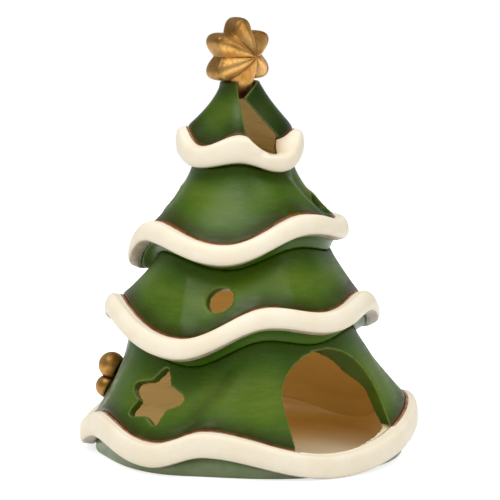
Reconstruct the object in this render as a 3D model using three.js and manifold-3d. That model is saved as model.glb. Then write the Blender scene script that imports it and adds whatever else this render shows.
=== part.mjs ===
// A ceramic Christmas tree that holds a tealight: four hollow skirts with cream hems on a round dish.
// Millimetres, +Z up. The arch for the tealight faces -Y and the flat underside lies at z = 0.
// Angles are compass degrees round the tree: 0 is the front, and 90 is +X.

import * as THREE from "three";
import { mergeVertices } from "three/addons/utils/BufferGeometryUtils.js";
import Module from "manifold-3d";

const wasm = await Module();
wasm.setup();

const FULL_TURN = 360;

// Main sizes
const TREE_HEIGHT = 200; // from the flat underside to the star's upper arm
const TREE_REACH = 70; // from the axis to the upper edge of the lowest hem

// Fits
const CLEARANCE = 0.3; // gap left between two pieces that touch
const SEAT_LIP = 2.2; // width of the shoulder that one tier rests on
const SPIGOT_RISE = 2.4; // height of the collar that centres a tier
const HEM_ROOT = 2; // depth of the rebate that a hem sits in
const HEM_BACKING = 2.6; // wall left behind a hem

// Smoothness
const STEPS_AROUND = 44; // sections round the tree, shared so that seats match
const HEM_STEPS = 6;
const HEM_SQUARENESS = 0.6; // 1 is a half-round bead, less is flatter outside
const FACE_SHARES = [0, 0.18, 0.36, 0.54, 0.7, 0.85, 1]; // rows of a skirt's outer face, from neck to rim
const INNER_SHARES = [0.9, 0.65, 0.4, 0.18]; // rows of its inner face, from rim to neck

// Each fold is a crest or a trough of a hem. "out" and "lift" are added to the tier's reach and level,
// as shares of the hem's height. The seat under a tier follows its folds by "seatFollow" and "seatSway".
const TOP_TIER = {
  level: 0.7275 * TREE_HEIGHT,
  reach: 0.351 * TREE_REACH,
  wall: 3.4,
  flare: 2,
  hemHeight: 10.7,
  hemSway: 0.5,
  hemBulge: 4.6,
  hemSpread: 0.2,
  seatInset: 1.8,
  seatFollow: 0,
  seatSway: 0.3,
  seatDrop: 0.8,
  folds: [
    { at: -168, out: 0.11, lift: -0.23 },
    { at: -122, out: 0.12, lift: 0.47 },
    { at: -82, out: 0.13, lift: -0.19 },
    { at: -39, out: -0.06, lift: 0.33 },
    { at: 2, out: 0.08, lift: -0.51 },
    { at: 50, out: -0.14, lift: 0.37 },
    { at: 98, out: 0.08, lift: -0.28 },
    { at: 142, out: -0.06, lift: 0.37 },
  ],
};

const UPPER_TIER = {
  level: 0.54 * TREE_HEIGHT,
  reach: 0.629 * TREE_REACH,
  wall: 4.4,
  flare: 1.5,
  hemHeight: 9,
  hemSway: 1,
  hemBulge: 5.4,
  hemSpread: 2.6,
  seatInset: 4,
  seatFollow: 0,
  seatSway: 0.72,
  seatDrop: 4.6,
  folds: [
    { at: -148, out: 0.34, lift: -1.72 },
    { at: -96, out: -0.06, lift: 0.17 },
    { at: -47, out: 0.22, lift: -0.63 },
    { at: 2, out: -0.17, lift: 0.67 },
    { at: 44, out: -0.27, lift: 0.09 },
    { at: 84, out: -0.28, lift: 0.39 },
    { at: 128, out: 0.17, lift: -0.61 },
    { at: 170, out: -0.06, lift: 0.22 },
  ],
};

const LOWER_TIER = {
  level: 0.343 * TREE_HEIGHT,
  reach: 0.793 * TREE_REACH,
  wall: 4.6,
  flare: 1.15,
  hemHeight: 9.4,
  hemSway: 1,
  hemBulge: 5.8,
  hemSpread: 3.4,
  seatInset: 4,
  seatFollow: 0,
  seatSway: 0.85,
  seatDrop: 5.4,
  folds: [
    { at: -178, out: -0.21, lift: 0.59 },
    { at: -146, out: 0.16, lift: -0.21 },
    { at: -118, out: 0.03, lift: 0.57 },
    { at: -64, out: 0.32, lift: -0.83 },
    { at: -24, out: -0.09, lift: 0.7 },
    { at: 3, out: 0.11, lift: 0.32 },
    { at: 36, out: -0.21, lift: 0.83 },
    { at: 78, out: 0.16, lift: -0.49 },
    { at: 112, out: -0.16, lift: 0.57 },
    { at: 150, out: 0.27, lift: -0.74 },
  ],
};

const BOTTOM_TIER = {
  level: 0.075 * TREE_HEIGHT,
  reach: TREE_REACH,
  wall: 4.8,
  flare: 1.1,
  hemHeight: 10.9,
  hemSway: 0.9,
  hemBulge: 5,
  hemSpread: 0.8,
  seatInset: 2.2,
  seatFollow: 1,
  seatSway: 0.9,
  seatDrop: -1.7,
  folds: [
    { at: -160, out: -0.28, lift: 0.6 },
    { at: -133, out: 0.05, lift: -0.05 },
    { at: -106, out: -0.28, lift: 0.69 },
    { at: -71, out: -0.05, lift: 0 },
    { at: -50, out: -0.32, lift: 0.69 },
    { at: -3, out: 0.37, lift: -0.37 },
    { at: 66, out: 0.5, lift: 0.96 },
    { at: 98, out: 0.41, lift: -0.14 },
    { at: 130, out: -0.23, lift: 0.64 },
    { at: 166, out: 0.09, lift: -0.18 },
  ],
};

// Dish under the tiers
const FLOOR_THICKNESS = 4.5;
const FLOOR_FILLET = 2;

// Neck that the star sits in
const NECK = { reach: 0.127 * TREE_REACH, height: 0.855 * TREE_HEIGHT, leanX: -1.3, leanY: 0.9 };

// The heights of openings and berries are given by "up", the share of the way from a tier's level to the next.
// Arch that the tealight passes through
const ARCH = { at: 7, width: 55, foot: 0.9, up: 0.718, widestUp: 0.28, sillDrop: 1.2 };

// Cut-outs that let the light out. The star is cut freehand: "turn" is degrees from upright,
// of each point with its "tip" and of the valley after it with its "notch".
const STAR_CUTOUT = {
  at: -78.8,
  up: 0.315,
  pointHalf: 9,
  pointStart: 0.75,
  points: [
    { turn: 10, tip: 13, valley: 48, notch: 9.2 },
    { turn: 84, tip: 16.1, valley: 113, notch: 9.6 },
    { turn: 148, tip: 12.6, valley: 186, notch: 7.6 },
    { turn: 233, tip: 13.6, valley: 258, notch: 8.2 },
    { turn: 286, tip: 14.7, valley: 331, notch: 8 },
  ],
};
const LOWER_HOLE = { at: -50, up: 0.245, radius: 6.5 };
const UPPER_HOLES = [
  { at: -126, up: 0.253, radius: 4.8 },
  { at: 48, up: 0.173, radius: 4.8 },
];

// Slot in the cone, seen from its own direction: how far across each corner lies, as a share of the cone's reach
const SLOT = {
  at: -30,
  apex: { across: -0.08, up: 0.755 },
  leftFoot: { across: -0.02, up: 0.122 },
  sill: { across: 0.18, up: -0.163 },
  rightFoot: { across: 0.57, up: -0.245 },
  rightShoulder: { across: 0.61, up: 0 },
};

// Star on top: six blunt arms that rise to a point in front
const STAR = { at: 5, tip: 17.3, notch: 12.1, front: 13, back: 8, armHalf: 5, notchHalf: 3.5, bluntness: 1.5, doming: 2.3 };
const STAR_HEIGHT = TREE_HEIGHT - STAR.tip;
const STAR_STEPS = 36;
const STAR_ROWS = [0.4, 0.7, 0.9, 1]; // rings of its front face, as shares of the way from the middle to the edge

// Gold berries on the left flank
// "sink" is how deep a berry beds into the wall
const BERRY_UPPER = { at: -141, up: 0.41, radius: 6.2, sink: 1.7 };
const BERRY_LOWER = { at: -141, up: 0.19, radius: 4.8, sink: 2.7 };
const BERRY_REAR = { at: -154, up: 0.3, radius: 5, sink: 2.6 };

const CUTTER_START = 0.15; // where a cutter starts and ends, as shares of its tier's reach
const CUTTER_END = 1.5;

const GREEN = 0x3f6b28;
const CREAM = 0xf7ecd5;
const GOLD = 0xb98a3c;

// Materials
function glaze(colour) {
  return new THREE.MeshStandardMaterial({ color: colour, roughness: 0.45, metalness: 0 });
}

function gilt() {
  return new THREE.MeshStandardMaterial({ color: GOLD, roughness: 0.35, metalness: 0.8 });
}

// Measures
function blend(from, to, share) {
  return from + (to - from) * share;
}

function point(across, height) {
  return new THREE.Vector2(across, height);
}

// A height on a tier, by the share of the way to the tier above or to the neck.
function heightAt(tier, above, up) {
  return blend(tier.level, above ? above.level : NECK.height, up);
}

// How far the tree's tip stands off the axis at a height, above the crests of the top hem.
function leanAt(height) {
  const start = TOP_TIER.level + TOP_TIER.hemHeight / 2;
  const share = Math.max(0, height - start) / (NECK.height - start);
  return [NECK.leanX * share, NECK.leanY * share];
}

// The value of one field of the folds at an angle, eased from each crest or trough to the next.
function foldAt(tier, angle, field) {
  const folds = tier.folds;
  let next = folds.findIndex((fold) => fold.at > angle);
  if (next < 0) next = 0;
  const before = folds[(next + folds.length - 1) % folds.length];
  const after = folds[next];
  const span = (after.at - before.at + FULL_TURN) % FULL_TURN;
  const along = (angle - before.at + FULL_TURN) % FULL_TURN;
  const eased = (1 - Math.cos((Math.PI * along) / span)) / 2;
  return blend(before[field], after[field], eased) * tier.hemHeight;
}

// What a tier measures at one angle.
function tierAt(tier, angle) {
  const lift = foldAt(tier, angle, "lift");
  const out = foldAt(tier, angle, "out");
  return {
    reach: tier.reach + out,
    rim: tier.level + lift,
    hemBottom: tier.level + tier.hemSway * lift - tier.hemHeight,
    hemFoot: tier.reach + out + tier.hemSpread,
    seatHeight: tier.level + tier.seatSway * lift - tier.hemHeight - tier.seatDrop,
    seatReach: tier.reach + tier.seatFollow * out - tier.seatInset,
  };
}

// Where a skirt starts at its top: the shoulder under the tier above, or the neck's lip.
function neckAt(above, angle) {
  if (!above) return { reach: NECK.reach, height: NECK.height, lip: 0, rise: 0 };
  const seat = tierAt(above, angle);
  return {
    reach: seat.seatReach,
    height: seat.seatHeight - CLEARANCE,
    lip: SEAT_LIP + CLEARANCE,
    rise: CLEARANCE + SPIGOT_RISE,
  };
}

// A point of a skirt's outer face, from its neck (0) to its rim (1).
function facePoint(tier, above, angle, share) {
  const neck = neckAt(above, angle);
  const foot = tierAt(tier, angle);
  const across = blend(neck.reach, foot.reach, Math.pow(share, tier.flare));
  return point(across, blend(neck.height, foot.rim + CLEARANCE, share));
}

// The same point moved outwards, or inwards where the amount is negative, square to the face.
function offsetPoint(tier, above, angle, share, amount) {
  const nudge = 0.02;
  const start = facePoint(tier, above, angle, Math.max(0, share - nudge));
  const end = facePoint(tier, above, angle, Math.min(1, share + nudge));
  const along = end.sub(start).normalize();
  const face = facePoint(tier, above, angle, share);
  return point(face.x - along.y * amount, face.y + along.x * amount);
}

// Reach of a skirt's outer face at an angle and height.
function wallReach(tier, above, angle, height) {
  let near = 0;
  let far = 1;
  for (let i = 0; i < 30; i++) {
    const middle = (near + far) / 2;
    if (facePoint(tier, above, angle, middle).y > height) near = middle;
    else far = middle;
  }
  return facePoint(tier, above, angle, near).x;
}

// Section of a skirt at one angle, as a closed loop: down its face, under the hem and up inside.
function skirtSection(tier, above, angle) {
  const here = tierAt(tier, angle);
  const neck = neckAt(above, angle);
  const rebateFoot = here.hemFoot - HEM_ROOT;
  const bore = here.seatReach - SEAT_LIP;
  const boreTop = here.seatHeight + SPIGOT_RISE + 2 * CLEARANCE;
  const innerLow = boreTop + 2 * CLEARANCE;
  const innerWide = Math.max(bore, Math.min(here.reach, here.hemFoot) - HEM_ROOT - HEM_BACKING);
  const loop = FACE_SHARES.map((share) => facePoint(tier, above, angle, share));
  loop.push(point(here.reach - HEM_ROOT, here.rim + CLEARANCE));
  loop.push(point(rebateFoot, here.hemBottom));
  loop.push(point(blend(rebateFoot, here.seatReach, 0.6), blend(here.hemBottom, here.seatHeight, 0.35)));
  loop.push(point(here.seatReach, here.seatHeight));
  loop.push(point(bore, here.seatHeight));
  loop.push(point(bore, boreTop));
  for (const share of INNER_SHARES) {
    const inner = offsetPoint(tier, above, angle, share, -tier.wall);
    loop.push(point(Math.min(inner.x, innerWide), Math.max(inner.y, innerLow)));
  }
  loop.push(point(neck.reach - tier.wall, neck.height + neck.rise));
  if (neck.lip > 0) {
    loop.push(point(neck.reach - neck.lip, neck.height + neck.rise));
    loop.push(point(neck.reach - neck.lip, neck.height));
  }
  return loop;
}

// Section of a hem: a rounded bead outside, and a flat back that fits the rebate.
function hemSection(tier, angle) {
  const here = tierAt(tier, angle);
  const top = point(here.reach, here.rim);
  const foot = point(here.hemFoot, here.hemBottom);
  const down = foot.clone().sub(top).normalize();
  const outward = point(-down.y, down.x);
  const loop = [];
  for (let i = 0; i <= HEM_STEPS; i++) {
    const turn = (Math.PI * i) / HEM_STEPS;
    const bulge = tier.hemBulge * Math.pow(Math.sin(turn), HEM_SQUARENESS);
    loop.push(top.clone().lerp(foot, (1 - Math.cos(turn)) / 2).addScaledVector(outward, bulge));
  }
  loop.push(point(here.hemFoot - HEM_ROOT + CLEARANCE, here.hemBottom));
  loop.push(point(here.reach - HEM_ROOT + CLEARANCE, here.rim));
  return loop;
}

// Section of the dish, from the middle of its floor out, over the wall and back under.
function dishSection(angle) {
  const here = tierAt(BOTTOM_TIER, angle);
  const shoulder = here.seatHeight - CLEARANCE;
  const collar = here.seatReach - SEAT_LIP - CLEARANCE;
  const inner = here.seatReach - BOTTOM_TIER.wall;
  const top = here.seatHeight + SPIGOT_RISE;
  return [
    point(0, FLOOR_THICKNESS),
    point(inner - FLOOR_FILLET, FLOOR_THICKNESS),
    point(inner, top),
    point(collar, top),
    point(collar, shoulder),
    point(here.seatReach, shoulder),
    point(here.seatReach, shoulder / 2),
    point(here.seatReach - FLOOR_FILLET / 2, 0),
    point(0, 0),
  ];
}

// Solids
function solidOf(geometry) {
  geometry.deleteAttribute("normal");
  geometry.deleteAttribute("uv");
  const merged = mergeVertices(geometry, 1e-4);
  const vertProperties = new Float32Array(merged.attributes.position.array);
  const triVerts = new Uint32Array(merged.index.array);
  return new wasm.Manifold(new wasm.Mesh({ numProp: 3, vertProperties, triVerts }));
}

function solidFrom(positions, faces) {
  const geometry = new THREE.BufferGeometry();
  geometry.setAttribute("position", new THREE.Float32BufferAttribute(positions, 3));
  geometry.setIndex(faces);
  return solidOf(geometry);
}

function geometryOf(solid) {
  const mesh = solid.getMesh();
  const geometry = new THREE.BufferGeometry();
  geometry.setAttribute("position", new THREE.BufferAttribute(mesh.vertProperties, 3));
  geometry.setIndex(new THREE.BufferAttribute(mesh.triVerts, 1));
  geometry.computeVertexNormals();
  return geometry;
}

// A solid that follows one section round the tree. A section that starts and ends on the axis is capped there.
function ringSolid(sectionAt, shiftAt = () => [0, 0]) {
  const positions = [];
  const faces = [];
  const angles = [];
  for (let i = 0; i < STEPS_AROUND; i++) angles.push((FULL_TURN * i) / STEPS_AROUND - FULL_TURN / 2);
  const sections = angles.map(sectionAt);
  const count = sections[0].length;
  const onAxis = sections[0][0].x === 0;
  sections.forEach((section, i) => {
    const turn = THREE.MathUtils.degToRad(angles[i]);
    for (const corner of section) {
      const [x, y] = shiftAt(corner.y);
      positions.push(x + corner.x * Math.sin(turn), y - corner.x * Math.cos(turn), corner.y);
    }
  });
  for (let i = 0; i < STEPS_AROUND; i++) {
    const here = i * count;
    const next = ((i + 1) % STEPS_AROUND) * count;
    for (let j = 0; j < (onAxis ? count - 1 : count); j++) {
      const k = (j + 1) % count;
      const firstOnAxis = onAxis && j === 0;
      const lastOnAxis = onAxis && k === count - 1;
      if (!firstOnAxis) faces.push(here + j, here + k, next + j);
      if (!lastOnAxis) faces.push(next + j, here + k, next + k);
    }
  }
  return solidFrom(positions, faces);
}

// A straight cutter with the given outline, pushed out from near the axis in one direction.
function cutter(shape, angle, reach, start = CUTTER_START * reach) {
  const depth = CUTTER_END * reach - start;
  const geometry = new THREE.ExtrudeGeometry(shape, { depth, bevelEnabled: false, curveSegments: 8 });
  const turn = THREE.MathUtils.degToRad(angle);
  const across = new THREE.Vector3(Math.cos(turn), Math.sin(turn), 0);
  const outward = new THREE.Vector3(Math.sin(turn), -Math.cos(turn), 0);
  const placed = new THREE.Matrix4().makeBasis(across, new THREE.Vector3(0, 0, 1), outward);
  placed.setPosition(outward.clone().multiplyScalar(start));
  geometry.applyMatrix4(placed);
  return solidOf(geometry);
}

// Outlines
function archShape() {
  const half = ARCH.width / 2;
  const foot = half * ARCH.foot;
  const widest = heightAt(BOTTOM_TIER, LOWER_TIER, ARCH.widestUp);
  const top = heightAt(BOTTOM_TIER, LOWER_TIER, ARCH.up);
  const shoulder = blend(widest, top, 0.6);
  const shape = new THREE.Shape();
  shape.moveTo(0, 0);
  shape.lineTo(foot, 0);
  shape.quadraticCurveTo(half, widest / 2, half, widest);
  shape.bezierCurveTo(half, shoulder, half / 2, top, 0, top);
  shape.bezierCurveTo(-half / 2, top, -half, shoulder, -half, widest);
  shape.quadraticCurveTo(-half, widest / 2, -foot, 0);
  shape.closePath();
  return shape;
}

function slotShape() {
  const corner = ({ across, up }) => [across * TOP_TIER.reach, heightAt(TOP_TIER, null, up)];
  const shape = new THREE.Shape();
  shape.moveTo(...corner(SLOT.apex));
  shape.lineTo(...corner(SLOT.leftFoot));
  shape.quadraticCurveTo(...corner(SLOT.sill), ...corner(SLOT.rightFoot));
  shape.lineTo(...corner(SLOT.rightShoulder));
  shape.closePath();
  return shape;
}

// The five-pointed star, with rounded points.
function starCutoutShape() {
  const height = heightAt(BOTTOM_TIER, LOWER_TIER, STAR_CUTOUT.up);
  const corner = (turn, radius) => {
    const angle = THREE.MathUtils.degToRad(turn);
    return [radius * Math.sin(angle), height + radius * Math.cos(angle)];
  };
  const shape = new THREE.Shape();
  const last = STAR_CUTOUT.points.at(-1);
  shape.moveTo(...corner(last.valley, last.notch));
  for (const { turn, tip, valley, notch } of STAR_CUTOUT.points) {
    const start = blend(notch, tip, STAR_CUTOUT.pointStart);
    shape.lineTo(...corner(turn - STAR_CUTOUT.pointHalf, start));
    const end = corner(turn + STAR_CUTOUT.pointHalf, start);
    shape.quadraticCurveTo(...corner(turn, 1.08 * tip), ...end);
    if (valley !== last.valley) shape.lineTo(...corner(valley, notch));
  }
  shape.closePath();
  return shape;
}

function holeShape(tier, above, hole) {
  return new THREE.Shape().absarc(0, heightAt(tier, above, hole.up), hole.radius, 0, 2 * Math.PI);
}

// The star on top at a turn from its upper arm: its reach, and half the thickness of its edge.
function starEdge(turn, grow) {
  const arm = Math.abs(Math.cos(3 * turn));
  return {
    reach: blend(STAR.notch, STAR.tip, Math.pow(arm, STAR.bluntness)) + grow,
    half: blend(STAR.notchHalf, STAR.armHalf, arm) + grow,
  };
}

function starTurns() {
  return Array.from({ length: STAR_STEPS }, (_, i) => (2 * Math.PI * i) / STAR_STEPS);
}

function starOutline(grow) {
  const corners = starTurns().map((turn) => {
    const { reach } = starEdge(turn, grow);
    return point(reach * Math.sin(turn), STAR_HEIGHT + reach * Math.cos(turn));
  });
  return new THREE.Shape(corners);
}

// The star's body: a dome in front and behind, creased towards the notches, with a flat edge between.
function starSolid(grow) {
  const positions = [0, -STAR.front - grow, 0, 0, STAR.back + grow, 0];
  const faces = [];
  const rows = STAR_ROWS.map((share) => ({ share, height: STAR.front + grow, side: -1 }));
  for (const share of STAR_ROWS.toReversed()) rows.push({ share, height: STAR.back + grow, side: 1 });
  const turns = starTurns();
  for (const turn of turns) {
    const { reach, half } = starEdge(turn, grow);
    for (const { share, height, side } of rows) {
      const depth = blend(half, height, 1 - Math.pow(share, STAR.doming));
      positions.push(share * reach * Math.sin(turn), side * depth, share * reach * Math.cos(turn));
    }
  }
  for (let i = 0; i < turns.length; i++) {
    const here = 2 + rows.length * i;
    const next = 2 + rows.length * ((i + 1) % turns.length);
    faces.push(0, next, here);
    for (let row = 0; row + 1 < rows.length; row++) {
      faces.push(here + row, next + row, here + row + 1);
      faces.push(next + row, next + row + 1, here + row + 1);
    }
    faces.push(here + rows.length - 1, next + rows.length - 1, 1);
  }
  return solidFrom(positions, faces);
}

// Pieces
function skirtSolid(tier, above) {
  return ringSolid((angle) => skirtSection(tier, above, angle));
}

function hemSolid(tier) {
  return ringSolid((angle) => hemSection(tier, angle));
}

// What the arch leaves standing: everything up to just under the hem's upper edge.
function sillGuard() {
  const outer = CUTTER_END * BOTTOM_TIER.reach;
  const below = -CLEARANCE;
  const section = (angle) => {
    const sill = tierAt(BOTTOM_TIER, angle).rim - ARCH.sillDrop;
    const middle = point(0, BOTTOM_TIER.level);
    return [middle, point(outer / 3, sill), point(outer, sill), point(outer, below), point(0, below)];
  };
  return ringSolid(section);
}

function bottomSkirt() {
  const arch = cutter(archShape(), ARCH.at, BOTTOM_TIER.reach).subtract(sillGuard());
  const star = cutter(starCutoutShape(), STAR_CUTOUT.at, BOTTOM_TIER.reach);
  return skirtSolid(BOTTOM_TIER, LOWER_TIER).subtract(arch).subtract(star);
}

function skirtWithHoles(tier, above, holes) {
  let solid = skirtSolid(tier, above);
  for (const hole of holes) solid = solid.subtract(cutter(holeShape(tier, above, hole), hole.at, tier.reach));
  return solid;
}

function slotCutter() {
  return cutter(slotShape(), SLOT.at, TOP_TIER.reach);
}

// The seat of the star: its own form with clearance, open to the front.
function starSeat() {
  const [x, y] = leanAt(STAR_HEIGHT);
  const body = starSolid(CLEARANCE).rotate([0, 0, STAR.at]).translate([x, y, STAR_HEIGHT]);
  return body.add(cutter(starOutline(CLEARANCE), STAR.at, TOP_TIER.reach, 0).translate([x, y, 0]));
}

function topCone() {
  const cone = ringSolid((angle) => skirtSection(TOP_TIER, null, angle), leanAt);
  return cone.subtract(slotCutter()).subtract(starSeat());
}

// The bottom skirt's outer form with clearance, which the berries are bedded against.
function berrySeat() {
  const section = (angle) => {
    const top = point(1, neckAt(LOWER_TIER, angle).height);
    const foot = point(1, tierAt(BOTTOM_TIER, angle).rim);
    const face = FACE_SHARES.map((share) => offsetPoint(BOTTOM_TIER, LOWER_TIER, angle, share, CLEARANCE));
    return [top, ...face, foot];
  };
  return ringSolid(section);
}

function berrySolid(berry) {
  const angle = THREE.MathUtils.degToRad(berry.at);
  const height = heightAt(BOTTOM_TIER, LOWER_TIER, berry.up);
  const reach = wallReach(BOTTOM_TIER, LOWER_TIER, berry.at, height) + berry.radius - berry.sink;
  const geometry = new THREE.SphereGeometry(berry.radius, 14, 9);
  geometry.translate(reach * Math.sin(angle), -reach * Math.cos(angle), height);
  return solidOf(geometry).subtract(berrySeat());
}

// Assembly
function piece(name, solid, material) {
  const mesh = new THREE.Mesh(geometryOf(solid), material);
  mesh.name = name;
  return mesh;
}

function tierGroup(...pieces) {
  const group = new THREE.Group();
  group.add(...pieces);
  return group;
}

const tree = new THREE.Group();
tree.add(piece("base_dish", ringSolid(dishSection), glaze(GREEN)));
tree.add(
  tierGroup(
    piece("skirt_bottom", bottomSkirt(), glaze(GREEN)),
    piece("hem_bottom", hemSolid(BOTTOM_TIER), glaze(CREAM)),
    piece("berry_upper", berrySolid(BERRY_UPPER), gilt()),
    piece("berry_lower", berrySolid(BERRY_LOWER), gilt()),
    piece("berry_rear", berrySolid(BERRY_REAR), gilt()),
  ),
);
tree.add(
  tierGroup(
    piece("skirt_lower_middle", skirtWithHoles(LOWER_TIER, UPPER_TIER, [LOWER_HOLE]), glaze(GREEN)),
    piece("hem_lower_middle", hemSolid(LOWER_TIER), glaze(CREAM)),
  ),
);
tree.add(
  tierGroup(
    piece("skirt_upper_middle", skirtWithHoles(UPPER_TIER, TOP_TIER, UPPER_HOLES), glaze(GREEN)),
    piece("hem_upper_middle", hemSolid(UPPER_TIER), glaze(CREAM)),
  ),
);
tree.add(
  tierGroup(
    piece("cone_top", topCone(), glaze(GREEN)),
    piece("hem_top", hemSolid(TOP_TIER).subtract(slotCutter()), glaze(CREAM)),
  ),
);
const star = piece("star_topper", starSolid(0), gilt());
star.position.set(...leanAt(STAR_HEIGHT), STAR_HEIGHT);
star.rotation.z = THREE.MathUtils.degToRad(STAR.at);
tree.add(star);

export default tree;
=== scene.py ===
"""A ceramic Christmas tree that holds a tealight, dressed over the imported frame.

Sizes in this file are millimetres. Angles are compass degrees round the tree: 0 is the front (-Y), 90 is +X.
"""

import math
from types import SimpleNamespace as Sizes

import bmesh
import bpy
import numpy as np
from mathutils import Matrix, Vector, noise


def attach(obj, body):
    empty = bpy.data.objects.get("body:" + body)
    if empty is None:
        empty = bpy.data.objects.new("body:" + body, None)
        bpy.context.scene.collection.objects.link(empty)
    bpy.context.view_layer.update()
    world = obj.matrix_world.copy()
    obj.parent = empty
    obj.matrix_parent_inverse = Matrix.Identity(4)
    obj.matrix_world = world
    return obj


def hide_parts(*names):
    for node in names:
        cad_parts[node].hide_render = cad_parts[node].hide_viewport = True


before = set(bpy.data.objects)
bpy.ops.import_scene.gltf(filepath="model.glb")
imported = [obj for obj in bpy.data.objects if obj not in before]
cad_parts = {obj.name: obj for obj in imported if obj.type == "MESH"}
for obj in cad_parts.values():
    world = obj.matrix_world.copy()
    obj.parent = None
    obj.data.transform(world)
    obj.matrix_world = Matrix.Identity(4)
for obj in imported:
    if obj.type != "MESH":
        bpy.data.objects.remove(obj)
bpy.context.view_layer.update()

MM = 0.001
FULL_TURN = 360

# Main sizes, as in the frame
TREE_HEIGHT = 200
TREE_REACH = 70
CLEARANCE = 0.3
SEAT_LIP = 2.2
SPIGOT_RISE = 2.4
HEM_ROOT = 2
HEM_BACKING = 2.6
HEM_LAP = 0.6
HEM_LAP_OUT = 0.12
HEM_DROP = 0.4
HEM_WAVER = 0.015
LAP_GAP = 0.1
HEM_DIP = Sizes(at=-143, depth=2.8, half_width=15)

# Where the cone's face runs straighter: (angle, change of flare, half width in degrees)
CONE_FLARES = [(46, -0.85, 50), (-126, -0.4, 40)]

# Under a hem: (share of the way in to the seat, share of the way up to it)
HEM_UNDERSIDE = [(0.3, 0.12), (0.6, 0.35), (0.85, 0.68)]

# The inner wall follows this part of the face, as shares of the way down it
INNER_FACE = (0.9, 0.12)

# How far a curve's handles reach toward the corner that it rounds
ROUNDNESS = 0.67

# Smoothness
STEPS_AROUND = 240
FACE_ROWS = 26
INNER_ROWS = 14
HEM_ROWS = 22
LAP_ROWS = 5
HEM_SQUARENESS = 0.36
STAR_STEPS = 180
STAR_ROWS = 18
STAR_EDGE_ROWS = 12
SEAT_STEPS = 90
SEAT_ROWS = 8
CUTTER_START = 0.15
CUTTER_END = 1.5
SKIRT_VOXEL = 0.8
CONE_VOXEL = 0.55
HEM_VOXEL = 0.5
SOFTENING = 4
NUDGE = 0.02
CURVE_STEPS = 28
SLOT_STEPS = 20
POINT_STEPS = 8
FILLET_STEPS = 8
FOOT_STEPS = 4
FAR = 1000.0

# A fold is (angle, out, lift), with out and lift as shares of the hem's height.
# A crease is (angle at the neck, angle at the rim, rise, half width in degrees).
TOP_TIER = Sizes(
    above=None,
    level=0.7275 * TREE_HEIGHT,
    reach=0.351 * TREE_REACH,
    wall=3.4,
    flare=2,
    hem_height=10.7,
    hem_sway=0.5,
    hem_bulge=4.6,
    hem_spread=0.2,
    seat_inset=1.8,
    seat_follow=0,
    seat_sway=0.3,
    seat_drop=0.8,
    folds=[
        (-168, 0.11, -0.23), (-122, 0.12, 0.47), (-82, 0.13, -0.19),
        (-39, -0.06, 0.33), (2, 0.08, -0.51), (50, -0.14, 0.37),
        (98, 0.08, -0.28), (142, -0.06, 0.37),
    ],
    creases=[],
)

UPPER_TIER = Sizes(
    above=TOP_TIER,
    level=0.54 * TREE_HEIGHT,
    reach=0.629 * TREE_REACH,
    wall=4.4,
    flare=1.5,
    hem_height=9.3,
    hem_sway=1,
    hem_bulge=5.4,
    hem_spread=2.6,
    seat_inset=4,
    seat_follow=0,
    seat_sway=0.72,
    seat_drop=4.6,
    folds=[
        (-148, 0.34, -1.72), (-96, -0.06, 0.17), (-47, 0.22, -0.63),
        (2, -0.17, 0.67), (44, -0.27, 0.09), (84, -0.16, -0.02),
        (128, 0.17, -0.61), (170, -0.06, 0.22),
    ],
    creases=[(14, 27, 1.3, 7), (34, 44, -1.9, 11), (130, 126, 0.9, 10), (-140, -148, 1, 12)],
)

LOWER_TIER = Sizes(
    above=UPPER_TIER,
    level=0.343 * TREE_HEIGHT,
    reach=0.793 * TREE_REACH,
    wall=4.6,
    flare=1.15,
    hem_height=9.4,
    hem_sway=1,
    hem_bulge=5.8,
    hem_spread=3.4,
    seat_inset=4,
    seat_follow=0,
    seat_sway=0.85,
    seat_drop=5.4,
    folds=[
        (-178, -0.21, 0.59), (-146, 0.16, -0.21), (-118, 0.03, 0.57),
        (-64, 0.32, -0.83), (-24, -0.09, 0.7), (3, 0.11, 0.32),
        (36, -0.21, 0.83), (78, 0.16, -0.49), (112, -0.16, 0.57),
        (150, 0.27, -0.74),
    ],
    creases=[
        (-73, -65, 1.3, 7), (-17, -8, 1.1, 9), (78, 78, 1, 10),
        (152, 150, 1.1, 10), (-146, -146, 0.8, 10),
    ],
)

BOTTOM_TIER = Sizes(
    above=LOWER_TIER,
    level=0.075 * TREE_HEIGHT,
    reach=TREE_REACH,
    wall=4.8,
    flare=1.1,
    hem_height=10.9,
    hem_sway=0.9,
    hem_bulge=5,
    hem_spread=0.8,
    seat_inset=2.2,
    seat_follow=1,
    seat_sway=0.9,
    seat_drop=-1.7,
    folds=[
        (-160, -0.28, 0.6), (-133, 0.05, -0.05), (-106, -0.28, 0.69),
        (-71, -0.05, 0), (-50, -0.32, 0.6), (-3, 0.37, -0.37),
        (66, 0.5, 0.96), (98, 0.41, -0.14), (130, -0.23, 0.64),
        (166, 0.09, -0.18),
    ],
    creases=[
        (-37, -61, -1.6, 7), (-104, -119, -0.9, 5), (-125, -125, -2.2, 11),
        (98, 98, 1, 10), (130, 130, -1, 10), (166, 166, 1, 10),
    ],
)

# Dish, neck and openings. "up" is the share of the way from a tier's level to the next.
FLOOR_THICKNESS = 4.5
FLOOR_FILLET = 6
FOOT_ROUNDING = 1.2
FOOT_TAPER = 0.2
COLLAR_EDGE = 0.1
NECK = Sizes(reach=0.127 * TREE_REACH, height=0.855 * TREE_HEIGHT, lean_x=-1.3, lean_y=0.9)
ARCH = Sizes(at=7, width=55, foot=0.9, up=0.718, widest_up=0.28, shoulder=0.6, sill_drop=1.2)
LOWER_HOLE = Sizes(at=-49, up=0.225, radius=6.2, turned=-26, dipped=23, lip=0)
UPPER_HOLES = [
    Sizes(at=-122, up=0.253, radius=4.8, turned=0, dipped=0, lip=0.9),
    Sizes(at=53, up=0.173, radius=4.8, turned=0, dipped=0, lip=1.6),
]

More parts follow.
